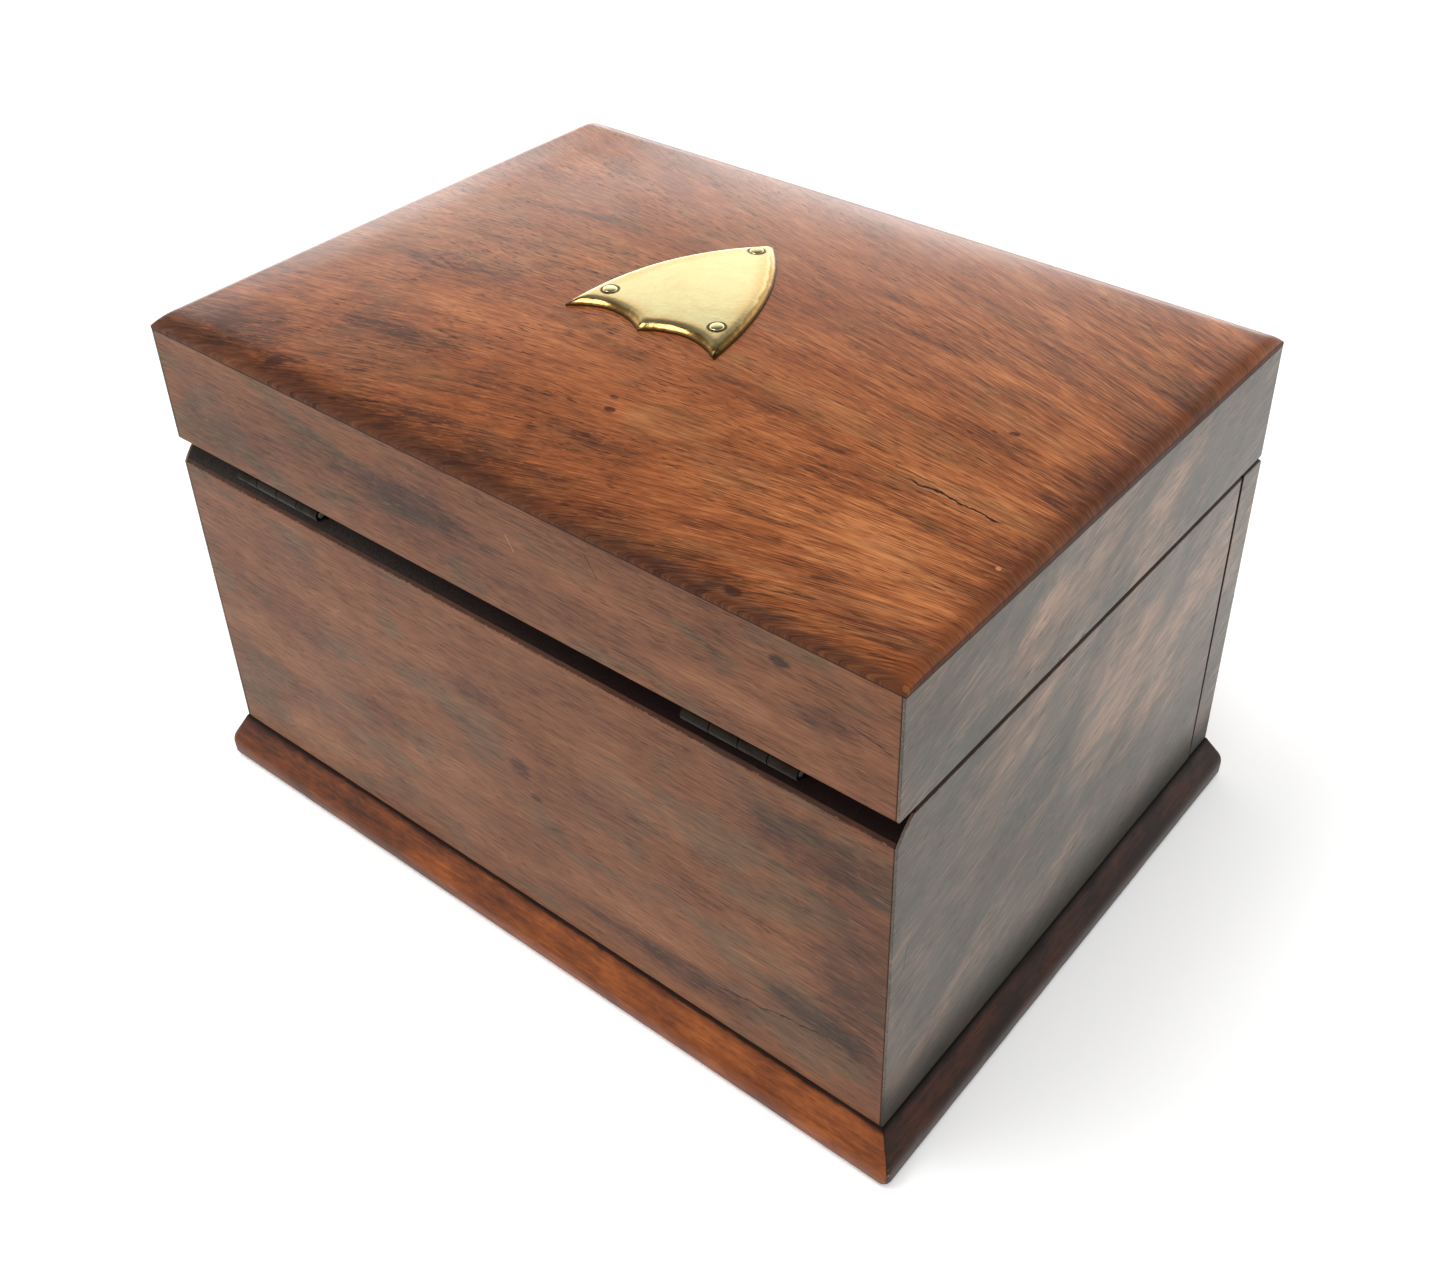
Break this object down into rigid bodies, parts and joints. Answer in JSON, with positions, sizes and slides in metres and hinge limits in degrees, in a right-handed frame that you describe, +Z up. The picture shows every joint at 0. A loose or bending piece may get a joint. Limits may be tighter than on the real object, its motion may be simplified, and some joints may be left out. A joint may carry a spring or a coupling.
{
  "type": "fall-front box",
  "caption": "Veneered wooden box with a domed hinged lid, a brass shield, a fall-down front with a sliding-bolt lock, and a moulded plinth.",
  "frame": {"origin": "centre of the base, on the surface the box stands on", "axes": "+Z up, the fall front faces -Y, the lid's hinges are at +Y, +X along the box's width"},
  "size_m": [0.292, 0.212, 0.1948],
  "materials": {
    "carcase_wood": "satin",
    "veneer": "polished",
    "plinth_wood": "polished",
    "lining": "matt",
    "hinge_brass": "aged",
    "shield_brass": "polished",
    "lock_brass": "satin",
    "steel": "aged"
  },
  "bodies": {
    "carcase": {"rear_board": "carcase_wood", "left_board": "carcase_wood", "right_board": "carcase_wood", "floor_board": "carcase_wood", "floor_cloth": "lining", "rear_veneer": "veneer", "left_veneer": "veneer", "right_veneer": "veneer", "plinth_rear": "plinth_wood", "plinth_front": "plinth_wood", "plinth_left": "plinth_wood", "plinth_right": "plinth_wood", "left_hinge_body_leaf": "hinge_brass", "right_hinge_body_leaf": "hinge_brass", "left_hinge_pin": "steel", "right_hinge_pin": "steel", "hinge_body_screws": "steel", "left_fall_hinge_base_leaf": "hinge_brass", "right_fall_hinge_base_leaf": "hinge_brass", "left_fall_hinge_pin": "steel", "right_fall_hinge_pin": "steel", "fall_hinge_base_screws": "steel"},
    "fall_front": {"fall_board": "carcase_wood", "fall_veneer": "veneer", "fall_left_end_veneer": "veneer", "fall_right_end_veneer": "veneer", "left_fall_hinge_leaf": "hinge_brass", "right_fall_hinge_leaf": "hinge_brass", "fall_hinge_screws": "steel", "lock_case": "lock_brass", "lock_cap": "lock_brass", "lock_pin": "steel", "lock_screws": "steel", "keyhole_escutcheon": "lock_brass"},
    "lock_bolt": {"lock_bolt": "lock_brass"},
    "lid": {"lid_board": "carcase_wood", "lid_rear_rail": "carcase_wood", "lid_front_rail": "carcase_wood", "lid_left_rail": "carcase_wood", "lid_right_rail": "carcase_wood", "lid_top_veneer": "veneer", "lid_rear_veneer": "veneer", "lid_front_veneer": "veneer", "lid_left_veneer": "veneer", "lid_right_veneer": "veneer", "left_hinge_lid_leaf": "hinge_brass", "right_hinge_lid_leaf": "hinge_brass", "hinge_lid_screws": "steel", "keeper_plate": "lock_brass", "keeper_screws": "steel", "shield_plate": "shield_brass", "shield_pins": "shield_brass"}
  },
  "joints": [
    {"name": "lid_hinge", "type": "hinge", "parent": "carcase", "child": "lid", "pos_m": [0, 0.0984, 0.13485], "axis": [-1, 0, 0], "range_deg": [0, 135]},
    {"name": "fall_hinge", "type": "hinge", "parent": "carcase", "child": "fall_front", "pos_m": [0, -0.1006, 0.0182], "axis": [1, 0, 0], "range_deg": [0, 97]},
    {"name": "lock_bolt_slide", "type": "slide", "parent": "fall_front", "child": "lock_bolt", "axis": [0, -0.0077, 1], "range_m": [0, 0.0045]}
  ]
}
